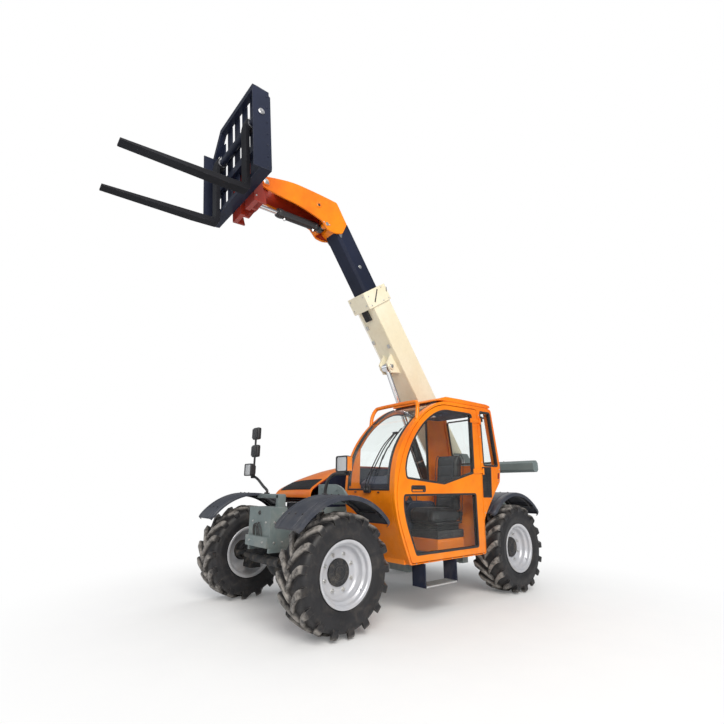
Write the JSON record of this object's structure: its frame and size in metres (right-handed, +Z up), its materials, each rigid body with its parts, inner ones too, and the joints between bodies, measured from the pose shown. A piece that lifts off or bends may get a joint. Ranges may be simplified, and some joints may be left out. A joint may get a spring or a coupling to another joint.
{
  "type": "compact telehandler",
  "caption": "Four-wheel-steer telescopic handler with a side cab, telescopic boom and tilting fork carriage, shown boom raised.",
  "frame": {"origin": "centre of the bottom face of the bounding box, on the ground under the machine", "axes": "+Z up, -Y to the front along the forks, +X to the machine's left, the cab side"},
  "size_m": [1.9, 4.7724, 4.8786],
  "materials": {
    "orange_paint": "gloss, lightly worn",
    "cream_paint": "semi-gloss",
    "dark_paint": "semi-gloss dark blue-grey",
    "chassis_paint": "semi-gloss grey-green",
    "black_paint": "satin black",
    "red_paint": "semi-gloss",
    "rim_paint": "silver",
    "chrome_rod": "polished",
    "tyre_rubber": "matt",
    "fender_plastic": "grained",
    "cast_iron": "as cast, painted",
    "black_plastic": "grained",
    "seat_vinyl": "woven",
    "cab_glass": "clear, lightly tinted"
  },
  "bodies": {
    "chassis": {"chassis_frame": "chassis_paint", "counterweight": "chassis_paint", "rear_light_bar": "black_plastic", "front_axle": "cast_iron", "rear_axle": "cast_iron", "front_left_fender": "fender_plastic", "front_right_fender": "fender_plastic", "rear_left_fender": "fender_plastic", "rear_right_fender": "fender_plastic", "left_headlight": "black_plastic", "right_headlight": "black_plastic", "cab_step": "black_paint", "engine_block": "cast_iron", "engine_bay": "black_paint", "cab_frame": "orange_paint", "cab_roof": "orange_paint", "cab_floor": "black_paint", "windscreen": "cab_glass", "right_window": "cab_glass", "quarter_window": "cab_glass", "rear_window": "cab_glass", "seat_base": "black_plastic", "driver_seat": "seat_vinyl", "dashboard": "black_plastic", "steering_wheel": "black_plastic"},
    "cab_door": {"door_frame": "orange_paint", "door_upper_glass": "cab_glass", "door_lower_glass": "cab_glass"},
    "engine_hood": {"engine_hood": "orange_paint"},
    "outer_boom": {"outer_boom": "cream_paint"},
    "inner_boom": {"inner_boom": "dark_paint", "boom_head": "orange_paint"},
    "fork_tool": {"quick_hitch": "red_paint", "fork_carriage": "dark_paint", "left_fork": "black_paint", "right_fork": "black_paint"},
    "lift_cylinder_barrel": {"lift_cylinder_barrel": "black_paint"},
    "lift_cylinder_rod": {"lift_cylinder_rod": "chrome_rod"},
    "tilt_cylinder_barrel": {"tilt_cylinder_barrel": "black_paint"},
    "tilt_cylinder_rod": {"tilt_cylinder_rod": "chrome_rod"},
    "front_left_knuckle": {"front_left_knuckle": "cast_iron"},
    "front_left_wheel": {"front_left_rim": "rim_paint", "front_left_tyre": "tyre_rubber"},
    "front_right_knuckle": {"front_right_knuckle": "cast_iron"},
    "front_right_wheel": {"front_right_rim": "rim_paint", "front_right_tyre": "tyre_rubber"},
    "rear_left_knuckle": {"rear_left_knuckle": "cast_iron"},
    "rear_left_wheel": {"rear_left_rim": "rim_paint", "rear_left_tyre": "tyre_rubber"},
    "rear_right_knuckle": {"rear_right_knuckle": "cast_iron"},
    "rear_right_wheel": {"rear_right_rim": "rim_paint", "rear_right_tyre": "tyre_rubber"}
  },
  "joints": [
    {"name": "front_left_steer", "type": "hinge", "parent": "chassis", "child": "front_left_knuckle", "pos_m": [0.66, -0.56384, 0.434], "axis": [0, 0, 1], "range_deg": [-35, 35]},
    {"name": "front_left_spin", "type": "hinge", "parent": "front_left_knuckle", "child": "front_left_wheel", "pos_m": [0.785, -0.56384, 0.434], "axis": [1, 0, 0], "continuous": true},
    {"name": "front_right_steer", "type": "hinge", "parent": "chassis", "child": "front_right_knuckle", "pos_m": [-0.66, -0.56384, 0.434], "axis": [0, 0, 1], "range_deg": [-35, 35]},
    {"name": "front_right_spin", "type": "hinge", "parent": "front_right_knuckle", "child": "front_right_wheel", "pos_m": [-0.785, -0.56384, 0.434], "axis": [1, 0, 0], "continuous": true},
    {"name": "rear_left_steer", "type": "hinge", "parent": "chassis", "child": "rear_left_knuckle", "pos_m": [0.66, 1.73616, 0.434], "axis": [0, 0, 1], "range_deg": [-35, 35]},
    {"name": "rear_left_spin", "type": "hinge", "parent": "rear_left_knuckle", "child": "rear_left_wheel", "pos_m": [0.785, 1.73616, 0.434], "axis": [1, 0, 0], "continuous": true},
    {"name": "rear_right_steer", "type": "hinge", "parent": "chassis", "child": "rear_right_knuckle", "pos_m": [-0.66, 1.73616, 0.434], "axis": [0, 0, 1], "range_deg": [-35, 35]},
    {"name": "rear_right_spin", "type": "hinge", "parent": "rear_right_knuckle", "child": "rear_right_wheel", "pos_m": [-0.785, 1.73616, 0.434], "axis": [1, 0, 0], "continuous": true},
    {"name": "door_swing", "type": "hinge", "parent": "chassis", "child": "cab_door", "pos_m": [0.91, 1.22616, 1.2], "axis": [0, 0, 1], "range_deg": [0, 90]},
    {"name": "hood_open", "type": "hinge", "parent": "chassis", "child": "engine_hood", "pos_m": [-0.215, 0.58616, 1.275], "axis": [0, 1, 0], "range_deg": [0, 60]},
    {"name": "boom_lift", "type": "hinge", "parent": "chassis", "child": "outer_boom", "pos_m": [0, 1.79416, 1.35], "axis": [-1, 0, 0], "range_deg": [-57, 5]},
    {"name": "boom_extend", "type": "slide", "parent": "outer_boom", "child": "inner_boom", "axis": [0, -0.5664, 0.8241], "range_m": [-0.6, 1.1]},
    {"name": "carriage_tilt", "type": "hinge", "parent": "inner_boom", "child": "fork_tool", "pos_m": [0, -1.03401, 4.05966], "axis": [1, 0, 0], "range_deg": [-70, 45]},
    {"name": "lift_barrel_swing", "type": "hinge", "parent": "chassis", "child": "lift_cylinder_barrel", "pos_m": [0, 1.56616, 0.64], "axis": [-1, 0, 0], "range_deg": [-47.46, 4.62]},
    {"name": "lift_rod_slide", "type": "slide", "parent": "lift_cylinder_barrel", "child": "lift_cylinder_rod", "axis": [0, -0.4226, 0.9063], "range_m": [-0.659, 0.0624]},
    {"name": "tilt_barrel_swing", "type": "hinge", "parent": "inner_boom", "child": "tilt_cylinder_barrel", "pos_m": [0, -0.26433, 3.88609], "axis": [1, 0, 0], "range_deg": [-5, 4]},
    {"name": "tilt_rod_slide", "type": "slide", "parent": "tilt_cylinder_barrel", "child": "tilt_cylinder_rod", "axis": [0, -0.999, -0.0457], "range_m": [-0.14, 0.215]}
  ],
  "couplings": [
    {"joint": "front_right_steer", "follows": "front_left_steer", "ratio": 1},
    {"joint": "rear_right_steer", "follows": "rear_left_steer", "ratio": 1},
    {"joint": "lift_barrel_swing", "follows": "boom_lift", "ratio": 0.82389},
    {"joint": "lift_rod_slide", "follows": "boom_lift", "m_per_rad": 0.65744},
    {"joint": "tilt_barrel_swing", "follows": "carriage_tilt", "ratio": 0.06},
    {"joint": "tilt_rod_slide", "follows": "carriage_tilt", "m_per_rad": -0.172}
  ]
}
